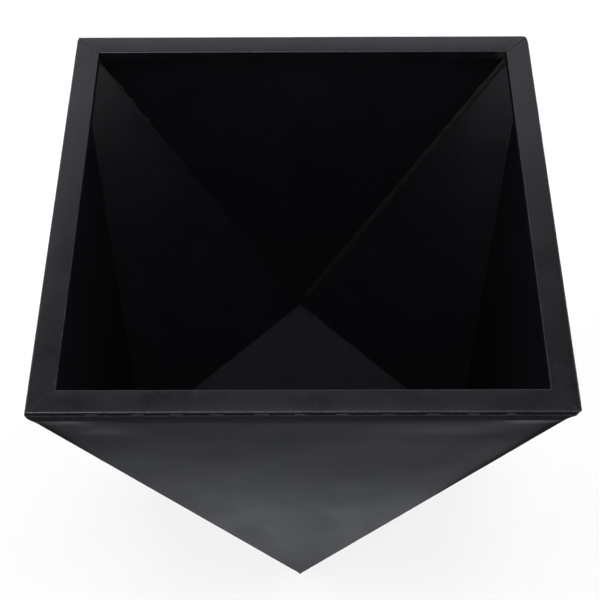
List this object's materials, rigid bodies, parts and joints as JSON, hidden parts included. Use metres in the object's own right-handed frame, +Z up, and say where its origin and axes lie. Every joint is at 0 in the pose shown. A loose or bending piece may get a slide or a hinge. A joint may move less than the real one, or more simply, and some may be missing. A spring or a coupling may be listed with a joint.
{
  "type": "faceted square planter",
  "caption": "Square open-topped vessel of black sheet steel: flat triangular sides between a square tube rim and a smaller square floor turned 45 degrees, for planting.",
  "frame": {"origin": "centre of the floor's underside, on the surface that the planter stands on", "axes": "+Z up through the mouth, -Y towards the front rail, +X to the right"},
  "size_m": [0.503, 0.503, 0.4205],
  "materials": {
    "rim_coat": "satin black powder coat on steel tube",
    "body_coat": "satin black powder coat on sheet steel",
    "weld_coat": "rough black powder coat over weld bead"
  },
  "bodies": {
    "root": {"rim_front_rail": "rim_coat", "rim_right_rail": "rim_coat", "rim_back_rail": "rim_coat", "rim_left_rail": "rim_coat", "front_panel": "body_coat", "right_panel": "body_coat", "back_panel": "body_coat", "left_panel": "body_coat", "front_right_corner_panel": "body_coat", "back_right_corner_panel": "body_coat", "back_left_corner_panel": "body_coat", "front_left_corner_panel": "body_coat", "floor_plate": "body_coat", "rim_stitch_welds": "weld_coat", "rim_mitre_welds": "weld_coat", "floor_tack_welds": "weld_coat", "back_right_seam_weld": "weld_coat", "back_left_seam_welds": "weld_coat"}
  },
  "joints": []
}
